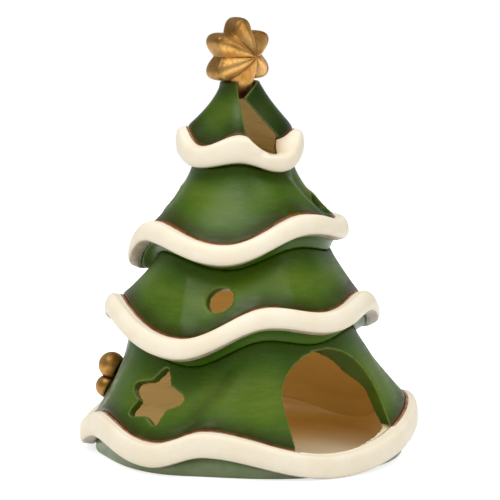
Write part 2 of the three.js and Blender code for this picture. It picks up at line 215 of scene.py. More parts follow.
# The star-shaped opening, cut freehand: each point is (turn, tip, turn of the valley after it, notch).
STAR_CUTOUT = Sizes(
    at=-78.8,
    up=0.315,
    lean=0.5,
    stretch=1.28,
    face=58,
    point_half=9,
    point_start=0.75,
    peak=1.08,
    points=[
        (10, 13, 48, 9.2), (84, 16.1, 113, 9.6), (148, 12.6, 186, 7.6),
        (233, 13.6, 258, 8.2), (286, 14.7, 331, 8),
    ],
)

# Slot in the cone: (across as a share of the cone's reach, up) of each corner. It opens into the star's seat.
SLOT = Sizes(
    at=-30,
    top_left=(-0.155, 1.05),
    throat_left=(-0.106, 0.682),
    left_foot=(-0.028, 0.133),
    sill=(0.18, -0.163),
    right_foot=(0.574, -0.235),
    right_shoulder=(0.604, 0.022),
    throat_right=(-0.027, 0.723),
    top_right=(0.294, 1.05),
)

# From here on a pair is (where a change starts, where it is full)

# Right of the slot the cone's hem climbs the cone's face
HEM_CLIMB = Sizes(start=(-20, 2), end=(52, 2), rise=5.2, rebate=0.8, lapped=(0.5, -0.3))

# Along a crease, as shares of the way down the face
CREASE = Sizes(neck=(0.02, 0.3), rim=(0.8, 1), rim_loss=0.75, sharpness=1.4)

# How far the tool of a round hole reaches, in walls, and how far its guard does
DRILL = Sizes(corners=48, inward=2.5, outward=4)
SILL_GUARD = Sizes(reach=1.2, below=5)

# The thick inner lip of the arch, and the unevenness of handwork
ARCH_LIP = Sizes(
    spread=(8, 0.5),
    behind=(0.25, 1),
    depth=2.8,
    crown=4.4,
    closing=3.52,
    closing_fall=0.75,
    left_foot=2.2,
    foot_heights=(32, 10),
    lip_heights=(14, 24),
    crown_heights=(36, 46),
    closing_heights=(30, 44),
    closing_across=(-8, 8),
)
HAND = Sizes(size=13, depth=0.5, neck=(0.03, 0.2), rim=(0.97, 0.8), cut=(1, 8))

# Right of the slot, between these heights, the hem falls inwards to the cut edge
SLOT_HOLLOW = Sizes(depth=2.2, spread=3.5, low=138.5, high=148, fade=3, start=(-22, -14), end=(40, 10))

# Painted masks
# Painted light on the inner clay behind the arch, and over all of the cone's inside
DAYLIGHT = Sizes(at=-160, beside=(75, 35), heights=(60, 50), cone=0.9)
INSIDE = Sizes(wall=(0.55, 0.8), cavity=(0.9, 0.3), edge=(0.5, 1.4), bore=(1.2, 0.4), floor=(2, 3))
SILL = Sizes(below=(3.5, 2.5), above=(0.8, 0), feet=(0.5, -1.5))
# A cut face gets painted shade, and the outer edge of each cut gets a painted highlight
CUT_FACE = Sizes(depth=(0.6, 1.8), shade=0.6, lip=(1.6, 0.3), clean=4)
CONE_SHADE = Sizes(left=0.42, start=(-28, -20), end=(110, 70))
SLOT_SHADE = Sizes(level=0.75, spread=4.5, heights=(138.5, 141), start=(-15, -9))
FINE_SEAM = Sizes(cone=1.5, lapped=1.5, lap=(1, 3), foot=0.5)
# The dish's floor gets a painted pool of light near the arch, and its inner wall painted light
DISH = Sizes(wall=(0.2, 0.4), floor=(92, 40), lit=(50, 60))
GOLD = Sizes(
    groove=0.8,
    middle=(0, 1.5),
    tip=(1.05, 0.5),
    edge=(0.8, 1),
    root=(11, 17),
    berry_seam=1.2,
    berry_dusk=0.3,
)

STAR = Sizes(
    at=5,
    tip=17.3,
    notch=12.1,
    front=13,
    back=8,
    arm_half=5,
    notch_half=3.5,
    bluntness=1.5,
    doming=1.7,
    rounding=0.11,
)
STAR_VALLEY = Sizes(depth=0.9, in_seat=0.36, sharpness=1.25, rise=0.6, fall=0.8)
STAR_ROOT = Sizes(reach=2.6, narrowness=6)
STAR_HEIGHT = TREE_HEIGHT - STAR.tip

BERRIES = {
    "berry_upper": Sizes(at=-141, up=0.41, radius=6.2, sink=1.7),
    "berry_lower": Sizes(at=-140.5, up=0.225, radius=5.3, sink=3.7),
    "berry_rear": Sizes(at=-153.5, up=0.3, radius=5.2, sink=2.6),
}


# Measures
def blend(start, end, share):
    return start + (end - start) * share


def ease(low, high, value):
    share = np.clip((value - low) / (high - low), 0, 1)
    return share * share * (3 - 2 * share)


def angle_between(angles, at):
    return np.abs((angles - at + FULL_TURN / 2) % FULL_TURN - FULL_TURN / 2)


def height_at(tier, up):
    return blend(tier.level, tier.above.level if tier.above else NECK.height, up)


def lean_at(height):
    """How far the tree's tip stands off the axis at a height, in x and y."""
    start = TOP_TIER.level + TOP_TIER.hem_height / 2
    share = np.maximum(0, height - start) / (NECK.height - start)
    return NECK.lean_x * share, NECK.lean_y * share


def fold_at(tier, angles, column):
    """One column of the folds at each angle, eased from each crest or trough to the next."""
    folds = np.array(tier.folds, float)
    at = folds[:, 0]
    after = np.searchsorted(at, angles, side="right") % len(at)
    before = after - 1
    span = (at[after] - at[before]) % FULL_TURN
    along = (angles - at[before]) % FULL_TURN
    eased = (1 - np.cos(math.pi * along / span)) / 2
    return blend(folds[before, column], folds[after, column], eased) * tier.hem_height


def tier_at(tier, angles):
    """What a tier measures at each angle."""
    out = fold_at(tier, angles, 1)
    lift = fold_at(tier, angles, 2)
    dip = 0 * angles
    if tier is BOTTOM_TIER:
        dip = HEM_DIP.depth * np.exp(-np.square(angle_between(angles, HEM_DIP.at) / HEM_DIP.half_width))
    return Sizes(
        reach=tier.reach + out,
        rim=tier.level + lift - HEM_LAP,
        hem_bottom=tier.level + tier.hem_sway * lift - tier.hem_height - HEM_DROP - dip,
        hem_foot=tier.reach + out + tier.hem_spread,
        seat_height=tier.level + tier.seat_sway * lift - tier.hem_height - tier.seat_drop,
        seat_reach=tier.reach + tier.seat_follow * out - tier.seat_inset,
    )


def climb_at(tier, angles):
    """How far a hem's upper edge laps over the face above its rim."""
    if tier is not TOP_TIER:
        return HEM_LAP + 0 * angles
    share = ease(*HEM_CLIMB.start, angles) * ease(*HEM_CLIMB.end, angles)
    return HEM_LAP + HEM_CLIMB.rise * share


def neck_at(tier, angles):
    """Where a skirt starts: the shoulder under the tier above, or the neck's lip."""
    if tier is TOP_TIER:
        nought = 0 * angles
        return Sizes(reach=NECK.reach + nought, height=NECK.height + nought, lip=0, rise=0)
    seat = tier_at(tier.above, angles)
    return Sizes(
        reach=seat.seat_reach,
        height=seat.seat_height - CLEARANCE,
        lip=SEAT_LIP + CLEARANCE,
        rise=CLEARANCE + SPIGOT_RISE,
    )


def crease_at(tier, angles, share):
    """How far the creases push a skirt's face in or out: nothing at its neck and little at its rim."""
    hold = ease(*CREASE.neck, share) * (1 - CREASE.rim_loss * ease(*CREASE.rim, share))
    total = 0 * angles
    for at_neck, at_rim, rise, half_width in tier.creases:
        line = blend(at_neck, at_rim, share)
        total = total + rise * np.exp(-np.power(angle_between(angles, line) / half_width, CREASE.sharpness))
    return total * hold


def flare_at(tier, angles):
    flare = tier.flare + 0 * angles
    for at, change, half_width in CONE_FLARES if tier is TOP_TIER else []:
        flare = flare + change * np.exp(-np.square(angle_between(angles, at) / half_width))
    return flare


def face_point(tier, angles, share):
    """Reach and height of a skirt's outer face, from its neck (0) to its rim (1)."""
    neck = neck_at(tier, angles)
    foot = tier_at(tier, angles)
    across = blend(neck.reach, foot.reach, np.power(share, flare_at(tier, angles)))
    return across, blend(neck.height, foot.rim + CLEARANCE, share)


def push_out(start, end, point, amount):
    """Moves a point outwards, square to the line between two others."""
    run = end[0] - start[0]
    fall = end[1] - start[1]
    length = np.hypot(run, fall)
    return point[0] - fall / length * amount, point[1] + run / length * amount


def offset_point(tier, angles, share, amount):
    """The same point moved outwards square to the face, or inwards where the amount is negative."""
    start = face_point(tier, angles, max(0, share - NUDGE))
    end = face_point(tier, angles, min(1, share + NUDGE))
    return push_out(start, end, face_point(tier, angles, share), amount)


def face_share(tier, angles, height):
    """The share of the way down a skirt's face at a height."""
    neck = neck_at(tier, angles)
    foot = tier_at(tier, angles)
    return (neck.height - height) / (neck.height - foot.rim - CLEARANCE)


def cavity_reach(here):
    """Reach of a skirt's bore, and of the widest part of the space inside it."""
    bore = here.seat_reach - SEAT_LIP
    return bore, np.maximum(bore, np.minimum(here.reach, here.hem_foot) - HEM_ROOT - HEM_BACKING)


def wall_reach(tier, angles, height):
    """Reach of a skirt's outer face at a height."""
    share = np.clip(face_share(tier, angles, height), 0, 1)
    return face_point(tier, angles, share)[0]


# Sections, as lists of (reach, height) with one value for each angle
def skirt_section(tier, angles):
    here = tier_at(tier, angles)
    neck = neck_at(tier, angles)
    loop = []
    seam = here.rim + climb_at(tier, angles)
    for row in range(FACE_ROWS + 1):
        share = row / FACE_ROWS
        height = blend(neck.height, here.rim, share)
        lapped = ease(*HEM_CLIMB.lapped, height - seam)
        push = crease_at(tier, angles, share) - HEM_CLIMB.rebate * lapped
        loop.append(offset_point(tier, angles, share, push))
    rebate_foot = here.hem_foot - HEM_ROOT
    bore, inner_wide = cavity_reach(here)
    bore_top = here.seat_height + SPIGOT_RISE + 2 * CLEARANCE
    inner_low = bore_top + 2 * CLEARANCE
    loop.append((here.reach - HEM_ROOT, here.rim + CLEARANCE))
    loop.append((rebate_foot, here.hem_bottom))
    for share, up in HEM_UNDERSIDE:
        across = blend(rebate_foot, here.seat_reach, share)
        loop.append((across, blend(here.hem_bottom, here.seat_height, up)))
    loop.append((here.seat_reach, here.seat_height))
    loop.append((bore, here.seat_height))
    loop.append((bore, bore_top))
    for row in range(INNER_ROWS + 1):
        share = blend(*INNER_FACE, row / INNER_ROWS)
        across, height = offset_point(tier, angles, share, -tier.wall)
        loop.append((np.minimum(across, inner_wide), np.maximum(height, inner_low)))
    top = neck.height + neck.rise
    loop.append((neck.reach - tier.wall, top))
    if tier.above:
        loop.append((neck.reach - neck.lip, top))
        loop.append((neck.reach - neck.lip, neck.height))
    return loop


def hem_section(tier, angles):
    here = tier_at(tier, angles)
    seam_share = face_share(tier, angles, here.rim + climb_at(tier, angles))
    top = (here.reach, here.rim)
    foot = (here.hem_foot, here.hem_bottom)
    waves = np.sin(np.radians(5 * angles + tier.level)) * np.sin(np.radians(3 * angles))
    hand = 1 - HEM_WAVER + HEM_WAVER * waves
    loop = []
    for row in range(LAP_ROWS):
        loop.append(lap_point(tier, angles, blend(seam_share, 1, row / LAP_ROWS), HEM_LAP_OUT))
    for row in range(1, HEM_ROWS + 1):
        turn = math.pi * row / HEM_ROWS
        share = (1 - math.cos(turn)) / 2
        bulge = tier.hem_bulge * hand * math.pow(max(0, math.sin(turn)), HEM_SQUARENESS)
        middle = (blend(top[0], foot[0], share), blend(top[1], foot[1], share))
        loop.append(push_out(top, foot, middle, bulge))
    root = HEM_ROOT - CLEARANCE
    loop.append((here.hem_foot - root, here.hem_bottom))
    loop.append((here.reach - root, here.rim))
    for row in range(LAP_ROWS, -1, -1):
        share = blend(seam_share, 1, row / LAP_ROWS)
        loop.append(lap_point(tier, angles, share, LAP_GAP - HEM_CLIMB.rebate))
    return loop


def lap_point(tier, angles, share, amount):
    """A point of the hem's lap, out from the skirt's face by an amount."""
    here = face_point(tier, angles, share)
    before = face_point(tier, angles, share - NUDGE)
    return push_out(before, here, here, amount + crease_at(tier, angles, share))


def dish_section(angles):
    here = tier_at(BOTTOM_TIER, angles)
    nought = 0 * angles
    shoulder = here.seat_height - CLEARANCE
    collar = here.seat_reach - SEAT_LIP - CLEARANCE
    inner = here.seat_reach - BOTTOM_TIER.wall
    top = here.seat_height + SPIGOT_RISE
    loop = [(nought, nought + FLOOR_THICKNESS), (inner / 2, nought + FLOOR_THICKNESS)]
    for row in range(FILLET_STEPS + 1):
        turn = math.pi / 2 * row / FILLET_STEPS
        across = blend(inner - FLOOR_FILLET, collar - COLLAR_EDGE, math.sin(turn))
        loop.append((across, blend(FLOOR_THICKNESS, top, 1 - math.cos(turn))))
    loop += [(collar, top), (collar, shoulder), (here.seat_reach, shoulder)]
    loop.append((here.seat_reach - FOOT_TAPER, shoulder / 2))
    for row in range(FOOT_STEPS + 1):
        turn = math.pi / 2 * row / FOOT_STEPS
        across = here.seat_reach - FOOT_ROUNDING * (1 - math.cos(turn))
        loop.append((across, nought + FOOT_ROUNDING * (1 - math.sin(turn))))
    loop.append((nought, nought))
    return loop


# Meshes
def new_object(name, data):
    obj = bpy.data.objects.new(name, data)
    bpy.context.scene.collection.objects.link(obj)
    return obj


def link_mesh(name, points, faces):
    """A mesh without doubles, and without the wall that a closed ring of sections leaves along the axis."""
    mesh = bpy.data.meshes.new(name)
    mesh.from_pydata([tuple(point) for point in np.asarray(points) * MM], [], [tuple(face) for face in faces])
    work = bmesh.new()
    work.from_mesh(mesh)
    on_axis = [face for face in work.faces if all(vert.co.xy.length < 0.01 * MM for vert in face.verts)]
    bmesh.ops.delete(work, geom=on_axis, context="FACES_ONLY")
    bmesh.ops.remove_doubles(work, verts=work.verts, dist=0.001 * MM)
    bmesh.ops.recalc_face_normals(work, faces=work.faces)
    work.to_mesh(mesh)
    work.free()
    return new_object(name, mesh)


def round_angles():
    return np.arange(STEPS_AROUND) * FULL_TURN / STEPS_AROUND - FULL_TURN / 2


def ring_object(name, section, leaning=False):
    """A closed skin that follows a section round the tree. Ends that lie on the axis are merged there."""
    turn = np.radians(round_angles())
    count = len(section)
    points = []
    for across, height in section:
        across = across + 0 * turn
        height = height + 0 * turn
        shift_x, shift_y = lean_at(height) if leaning else (0, 0)
        x = shift_x + across * np.sin(turn)
        y = shift_y - across * np.cos(turn)
        points.append(np.stack([x, y, height], axis=1))
    points = np.stack(points, axis=1).reshape(-1, 3)
    faces = []
    for i in range(STEPS_AROUND):
        here = i * count
        after = (i + 1) % STEPS_AROUND * count
        for j in range(count):
            k = (j + 1) % count
            faces.append((here + j, here + k, after + k, after + j))
    return link_mesh(name, points, faces)


def modify(obj, kind, **settings):
    """Puts what one modifier makes into the mesh."""
    modifier = obj.modifiers.new(kind, kind)
    for name, value in settings.items():
        setattr(modifier, name, value)
    bpy.context.view_layer.update()
    shown = obj.evaluated_get(bpy.context.evaluated_depsgraph_get())
    mesh = bpy.data.meshes.new_from_object(shown)
    old = obj.data
    obj.modifiers.clear()
    obj.data = mesh
    bpy.data.meshes.remove(old)


def subtract(obj, cutter):
    modify(obj, "BOOLEAN", operation="DIFFERENCE", solver="EXACT", object=cutter)
    bpy.data.objects.remove(cutter)


def remesh(obj, voxel):
    modify(obj, "REMESH", mode="VOXEL", voxel_size=voxel * MM)


def soften(obj):
    """Rounds every edge of a piece a little, as slip and glaze do."""
    modify(obj, "SMOOTH", factor=0.5, iterations=SOFTENING)


# Outlines, as arrays of (across, height)
def bezier(start, first, second, end, steps=CURVE_STEPS):
    share = np.linspace(0, 1, steps, endpoint=False)[:, None]
    corners = [np.array(corner, float) for corner in (start, first, second, end)]
    weights = [(1 - share) ** 3, 3 * share * (1 - share) ** 2, 3 * share**2 * (1 - share), share**3]
    return sum(weight * corner for weight, corner in zip(weights, corners))


def arch_outline():
    half = ARCH.width / 2
    foot = half * ARCH.foot
    widest = height_at(BOTTOM_TIER, ARCH.widest_up)
    top = height_at(BOTTOM_TIER, ARCH.up)
    low = (half, widest * ROUNDNESS)
    shoulder = blend(widest, top, ARCH.shoulder)
    right = [
        bezier((foot, 0), (blend(foot, half, ROUNDNESS), widest / 3), low, (half, widest)),
        bezier((half, widest), (half, shoulder), (half / 2, top), (0, top)),
    ]
    right = np.concatenate(right)
    left = right[::-1] * [-1, 1]
    left[:, 0] -= ARCH_LIP.left_foot * ease(*ARCH_LIP.foot_heights, left[:, 1])
    return np.concatenate([right, [(0, top)], left])


def slot_outline():
    def corner(place):
        return np.array([place[0] * TOP_TIER.reach, height_at(TOP_TIER, place[1])])

    foot = corner(SLOT.left_foot)
    sill = corner(SLOT.sill)
    end = corner(SLOT.right_foot)
    curve = bezier(foot, blend(foot, sill, ROUNDNESS), blend(end, sill, ROUNDNESS), end, SLOT_STEPS)
    top = [corner(SLOT.top_left), corner(SLOT.throat_left)]
    side = [end, corner(SLOT.right_shoulder), corner(SLOT.throat_right), corner(SLOT.top_right)]
    return np.concatenate([top, curve, side])


def star_cutout_outline():
    middle = height_at(BOTTOM_TIER, STAR_CUTOUT.up)

    def corner(turn, radius):
        angle = math.radians(turn)
        return np.array([radius * math.sin(angle), middle + radius * math.cos(angle) * STAR_CUTOUT.stretch])

    points = []
    for turn, tip, valley, notch in STAR_CUTOUT.points:
        start = blend(notch, tip, STAR_CUTOUT.point_start)
        before = corner(turn - STAR_CUTOUT.point_half, start)
        peak = corner(turn, STAR_CUTOUT.peak * tip)
        after = corner(turn + STAR_CUTOUT.point_half, start)
        handles = (blend(before, peak, ROUNDNESS), blend(after, peak, ROUNDNESS))
        points.extend(bezier(before, *handles, after, POINT_STEPS))
        points.append(after)
        points.append(corner(valley, notch))
    return np.array(points)


def heading(angle, rise=0):
    """A direction of length one, by compass angle and rise in degrees."""
    turn = math.radians(angle)
    tilt = math.radians(rise)
    return np.array([math.sin(turn) * math.cos(tilt), -math.cos(turn) * math.cos(tilt), math.sin(tilt)])


def prism(rings):
    """A closed skin over rings of points."""
    count = len(rings[0])
    points = np.concatenate(rings)
    last = len(points) - count
    faces = [tuple(range(count)), tuple(range(len(points) - 1, last - 1, -1))]
    for row in range(len(rings) - 1):
        for i in range(count):
            here = row * count + i
            after = row * count + (i + 1) % count
            faces.append((here, after, after + count, here + count))
    return link_mesh("cutter", points, faces)


def lean_of(angle):
    """How steeply an opening's cutter rises outwards, and where along it the outline lies."""
    return (STAR_CUTOUT.lean, STAR_CUTOUT.face) if angle == STAR_CUTOUT.at else (0, 0)


def cutter(outline, angle, reach):
    """A straight prism with the given outline, pushed out from near the axis in one direction."""
    outward = heading(angle)
    across = np.array([-outward[1], outward[0], 0])
    upward = np.array([0, 0, 1])
    flat = outline[:, :1] * across + outline[:, 1:] * upward
    lean, face = lean_of(angle)
    rings = []
    for away in (CUTTER_START * reach, CUTTER_END * reach):
        rings.append(flat + outward * away + upward * lean * (away - face))
    return prism(rings)


def hole_axis(tier, hole):
    """Where a round hole meets the skirt's face, and the direction it was drilled from."""
    height = height_at(tier, hole.up)
    reach = wall_reach(tier, np.array([float(hole.at)]), height)[0]
    middle = heading(hole.at) * reach
    middle[2] = height
    return middle, heading(hole.at + hole.turned, hole.dipped)


def drill(tier, hole):
    middle, outward = hole_axis(tier, hole)
    side = np.cross(outward, [0, 0, 1])
    side = side / np.linalg.norm(side)
    up = np.cross(side, outward)
    turn = np.linspace(0, 2 * math.pi, DRILL.corners, endpoint=False)[:, None]
    ring = middle + hole.radius * (np.cos(turn) * side + np.sin(turn) * up)
    return prism([ring - outward * DRILL.inward * tier.wall, ring + outward * DRILL.outward * tier.wall])


def drill_gap(points, tier, hole):
    """How far each point is from the wall of a round hole."""
    middle, outward = hole_axis(tier, hole)
    away = points - middle
    along = away @ outward
    across = np.linalg.norm(away - along[:, None] * outward, axis=1)
    return np.where(np.abs(along) < DRILL.outward * tier.wall, np.abs(across - hole.radius), FAR)


def outlines_of(tier):
    """The (outline, angle) of each freehand opening in a tier."""
    if tier is BOTTOM_TIER:
        return [(arch_outline(), ARCH.at), (star_cutout_outline(), STAR_CUTOUT.at)]
    return [(slot_outline(), SLOT.at)] if tier is TOP_TIER else []


def holes_of(tier):
    if tier is LOWER_TIER:
        return [LOWER_HOLE]
    return UPPER_HOLES if tier is UPPER_TIER else []


def opening_gap(points, tier):
    """How far each point is from the nearest cut edge."""
    gap = np.full(len(points), FAR)
    for outline, angle in outlines_of(tier):
        gap = np.minimum(gap, outline_gap(points, outline, angle))
    for hole in holes_of(tier):
        gap = np.minimum(gap, drill_gap(points, tier, hole))
    return gap


# Painted-on data, which the glazes read
def corners_of(obj):
    points = np.zeros(len(obj.data.vertices) * 3)
    obj.data.vertices.foreach_get("co", points)
    return points.reshape(-1, 3) / MM


def move_corners(obj, points):
    obj.data.vertices.foreach_set("co", (points * MM).ravel())
    obj.data.update()


def outward_at(angles):
    turn = np.radians(angles)
    return np.stack([np.sin(turn), -np.cos(turn), 0 * turn], axis=1)


def paint(obj, **masks):
    for name, values in masks.items():
        layer = obj.data.attributes.new(name, "FLOAT", "POINT")
        layer.data.foreach_set("value", np.asarray(values, np.float32))


def polar(points, leaning=False):
    """The reach, angle and height of each point."""
    height = points[:, 2]
    shift_x, shift_y = lean_at(height) if leaning else (0, 0)
    x = points[:, 0] - shift_x
    y = points[:, 1] - shift_y
    return np.hypot(x, y), np.degrees(np.arctan2(x, -y)), height


def outline_gap(points, outline, angle):
    """How far each point is from an opening's edge, seen along the opening."""
    turn = math.radians(angle)
    across = points[:, 0] * math.cos(turn) + points[:, 1] * math.sin(turn)
    outward = points[:, 0] * math.sin(turn) - points[:, 1] * math.cos(turn)
    lean, face = lean_of(angle)
    place = np.stack([across, points[:, 2] - lean * (outward - face)], axis=1)
    gap = np.full(len(points), FAR)
    for start, end in zip(outline, np.roll(outline, -1, axis=0)):
        side = end - start
        length = max(1e-9, side @ side)
        share = np.clip((place - start) @ side / length, 0, 1)
        nearest = start + share[:, None] * side
        gap = np.minimum(gap, np.hypot(*(place - nearest).T))
    return np.where(outward > 0, gap, FAR)


def wall_depth(tier, angles, reach, height):
    """How far below a skirt's face each point lies."""
    here = tier_at(tier, angles)
    neck = neck_at(tier, angles)
    slope = np.hypot(here.reach - neck.reach, neck.height - here.rim)
    return (wall_reach(tier, angles, height) - reach) * (neck.height - here.rim) / slope


def slot_hollow(points, angles):
    """How far the hollow beside the slot lies behind the plain surface."""
    height = points[:, 2]
    level = ease(SLOT_HOLLOW.low, SLOT_HOLLOW.low + SLOT_HOLLOW.fade, height)
    level = level * ease(SLOT_HOLLOW.high, SLOT_HOLLOW.high - SLOT_HOLLOW.fade, height)
    beside = ease(*SLOT_HOLLOW.start, angles) * ease(*SLOT_HOLLOW.end, angles)
    gap = outline_gap(points, slot_outline(), SLOT.at)
    return SLOT_HOLLOW.depth * np.exp(-gap / SLOT_HOLLOW.spread) * level * beside


def shape_hem(obj):
    """Gives the cone's hem its hollow beside the slot."""
    points = corners_of(obj)
    angles = polar(points)[1]
    move_corners(obj, points - outward_at(angles) * slot_hollow(points, angles)[:, None])


def thicken_arch(points, height, depth):
    """The points of the bottom skirt with the wall behind the arch made thicker and drawn in at its right."""
    gap = outline_gap(points, arch_outline(), ARCH.at)
    behind = ease(*ARCH_LIP.behind, depth / BOTTOM_TIER.wall)
    behind = behind * ease(*ARCH_LIP.spread, gap) * ease(*ARCH_LIP.lip_heights, height)
    deep = blend(ARCH_LIP.depth, ARCH_LIP.crown, ease(*ARCH_LIP.crown_heights, height))
    points = points - heading(ARCH.at) * (behind * deep)[:, None]
    across = heading(ARCH.at + 90)
    closing = ARCH_LIP.closing * behind * ease(*ARCH_LIP.closing_heights, height)
    closing = closing * ease(*ARCH_LIP.closing_across, points @ across)
    return points - (across + [0, 0, ARCH_LIP.closing_fall]) * closing[:, None]


def shape_skirt(obj, tier):
    """Adds the unevenness of handwork, the lips of the round holes, the slot's hollow and the arch's lip."""
    points = corners_of(obj)
    reach, angles, height = polar(points, tier is TOP_TIER)
    share = np.clip(face_share(tier, angles, height), 0, 1)
    depth = wall_depth(tier, angles, reach, height)
    spread = ease(*HAND.neck, share) * ease(*HAND.rim, share) * ease(*HAND.cut, opening_gap(points, tier))
    push = HAND.depth * spread * np.array([noise.noise(Vector(point / HAND.size)) for point in points])
    for hole in holes_of(tier):
        gap = drill_gap(points, tier, hole)
        push = push + hole.lip * np.exp(-np.square(gap / 2)) * ease(0.8 * tier.wall, 0, depth)
    if tier is TOP_TIER:
        push = push - slot_hollow(points, angles)
    points = points + outward_at(angles) * push[:, None]
    if tier is BOTTOM_TIER:
        points = thicken_arch(points, height, depth)
    move_corners(obj, points)


def daylight_at(angles, height):
    """How much of the light through the arch reaches the inner wall."""
    beside = ease(*DAYLIGHT.beside, angle_between(angles, DAYLIGHT.at))
    return beside * ease(*DAYLIGHT.heights, height)


def between_feet(points):
    """Where the arch's open foot is: 1 between its two feet, 0 beyond them."""
    aside = np.abs(points @ heading(ARCH.at + 90)) - ARCH.width / 2
    return ease(*SILL.feet, aside) * (points @ heading(ARCH.at) > 0)


def sill_at(points, here):
    """The top of the wall that the arch leaves standing behind the hem."""
    under_rim = here.rim - points[:, 2]
    top = ease(*SILL.below, under_rim) * ease(*SILL.above, -under_rim)
    return between_feet(points) * top


def paint_skirt(obj, tier):
    points = corners_of(obj)
    reach, angles, height = polar(points, tier is TOP_TIER)
    here = tier_at(tier, angles)
    share = np.clip(face_share(tier, angles, height), 0, 1)
    depth = wall_depth(tier, angles, reach, height)
    gap = opening_gap(points, tier)
    bore, cavity = cavity_reach(here)
    inside = ease(*INSIDE.wall, depth / tier.wall) * ease(*INSIDE.edge, gap)
    inside = inside * ease(*INSIDE.cavity, reach - cavity)
    above_seat = ease(*INSIDE.floor, height - here.seat_height)
    inside = inside * np.maximum(above_seat, ease(*INSIDE.bore, reach - bore))
    sill = sill_at(points, here) if tier is BOTTOM_TIER else 0 * height
    inside = np.maximum(inside, sill)
    cut_face = np.exp(-gap) * ease(*CUT_FACE.depth, depth) * (1 - inside)
    shaded = CUT_FACE.shade * cut_face
    daylight = daylight_at(angles, height) if tier is BOTTOM_TIER else 0 * height
    if tier is TOP_TIER:
        right_strip = ease(*CONE_SHADE.start, angles) * ease(*CONE_SHADE.end, angles)
        shaded = np.maximum(blend(CONE_SHADE.left, 1, right_strip), shaded)
        # Painted light over all of the cone's inner clay
        daylight = daylight + DAYLIGHT.cone
    paint(
        obj,
        inside=inside,
        sill=sill,
        daylight=daylight,
        shaded=shaded,
        under=ease(0, 1, here.rim - height) * (1 - inside),
        above_hem=height - here.rim - climb_at(tier, angles) + CUT_FACE.clean * cut_face,
        below_neck=neck_at(tier, angles).height - height,
        share=share,
        # A painted highlight along the outer edge of each cut
        lip=np.exp(-gap) * ease(*CUT_FACE.lip, depth),
        hollow=np.maximum(0, -crease_at(tier, angles, share)),
    )


def paint_hem(obj, tier):
    points = corners_of(obj)
    reach, angles, height = polar(points)
    here = tier_at(tier, angles)
    climb = climb_at(tier, angles)
    seam_share = face_share(tier, angles, here.rim + climb)
    seam = lap_point(tier, angles, seam_share, HEM_LAP_OUT)
    from_top = np.hypot(reach - seam[0], height - seam[1])
    shade = 0 * height
    if tier is TOP_TIER:
        lapped = ease(*FINE_SEAM.lap, climb)
        from_top = from_top * FINE_SEAM.cone * blend(1, FINE_SEAM.lapped, lapped)
        shade = SLOT_SHADE.level * np.exp(-opening_gap(points, tier) / SLOT_SHADE.spread)
        shade = shade * ease(*SLOT_SHADE.heights, height) * ease(*SLOT_SHADE.start, angles)
    if tier is BOTTOM_TIER:
        from_top = from_top + CUT_FACE.clean * between_feet(points)
    foot = np.hypot(reach - here.hem_foot, height - here.hem_bottom)
    raised = (here.hem_foot - here.reach) / tier.hem_height * tier.hem_bulge / 2
    from_edge = height - here.hem_bottom - raised + FINE_SEAM.foot
    from_foot = np.where(reach > here.hem_foot, np.minimum(foot, from_edge), foot)
    paint(obj, from_top=from_top, from_foot=from_foot, shade=shade)


def paint_dish(obj):
    points = corners_of(obj)
    reach, angles, height = polar(points)
    depth = tier_at(BOTTOM_TIER, angles).seat_reach - reach
    inside = ease(*DISH.wall, depth / BOTTOM_TIER.wall) * (height > FLOOR_THICKNESS / 2)
    # Painted pool of light: the floor is cream near the arch and clay-coloured further in
    away = np.linalg.norm(points[:, :2] - heading(ARCH.at)[:2] * BOTTOM_TIER.reach, axis=1)
    lit = daylight_at(angles, height) * ease(*DISH.lit, reach)
    paint(obj, inside=inside, floor=inside * ease(*DISH.floor, away), daylight=lit)


# Pieces
def skirt_object(name, tier):
    obj = ring_object(name, skirt_section(tier, round_angles()), tier is TOP_TIER)
    for outline, angle in outlines_of(tier):
        tool = cutter(outline, angle, tier.reach)
        if tier is BOTTOM_TIER and angle == ARCH.at:
            subtract(tool, sill_guard())
        subtract(obj, tool)
    for hole in holes_of(tier):
        subtract(obj, drill(tier, hole))
    if tier is TOP_TIER:
        subtract(obj, star_seat())
    remesh(obj, CONE_VOXEL if tier is TOP_TIER else SKIRT_VOXEL)
    paint_skirt(obj, tier)
    shape_skirt(obj, tier)
    soften(obj)
    return obj


def hem_object(name, tier):
    obj = ring_object(name, hem_section(tier, round_angles()))
    if tier is TOP_TIER:
        subtract(obj, cutter(slot_outline(), SLOT.at, tier.reach))
        remesh(obj, HEM_VOXEL)
    paint_hem(obj, tier)
    if tier is TOP_TIER:
        shape_hem(obj)
        soften(obj)
    return obj


def sill_guard():
    """What the arch leaves standing: everything up to just under the hem's upper edge."""
    angles = round_angles()
    nought = 0 * angles
    outer = SILL_GUARD.reach * CUTTER_END * BOTTOM_TIER.reach + nought
    sill = tier_at(BOTTOM_TIER, angles).rim - ARCH.sill_drop
    top = [(nought, nought + BOTTOM_TIER.level), (outer / 3, sill), (outer, sill)]
    low = nought - SILL_GUARD.below
    return ring_object("sill_guard", top + [(outer, low), (nought, low)])


# The star on top
def star_edge(turn, grow):
    """Reach and half thickness of the star's rim at each turn, clockwise from the top arm."""
    arm = np.abs(np.cos(3 * turn))
    reach = blend(STAR.notch, STAR.tip, np.power(arm, STAR.bluntness)) + grow
    reach = reach + STAR_ROOT.reach * np.power(np.clip(-np.cos(turn), 0, 1), STAR_ROOT.narrowness)
    half = blend(STAR.notch_half, STAR.arm_half, arm) + grow
    return reach, half


def star_place(points):
    """Turns and moves points from the star's own frame to the tree's."""
    turn = math.radians(STAR.at)
    x = points[:, 0] * math.cos(turn) - points[:, 1] * math.sin(turn)
    y = points[:, 0] * math.sin(turn) + points[:, 1] * math.cos(turn)
    shift_x, shift_y = lean_at(STAR_HEIGHT)
    return np.stack([x + shift_x, y + shift_y, points[:, 2] + STAR_HEIGHT], axis=1)


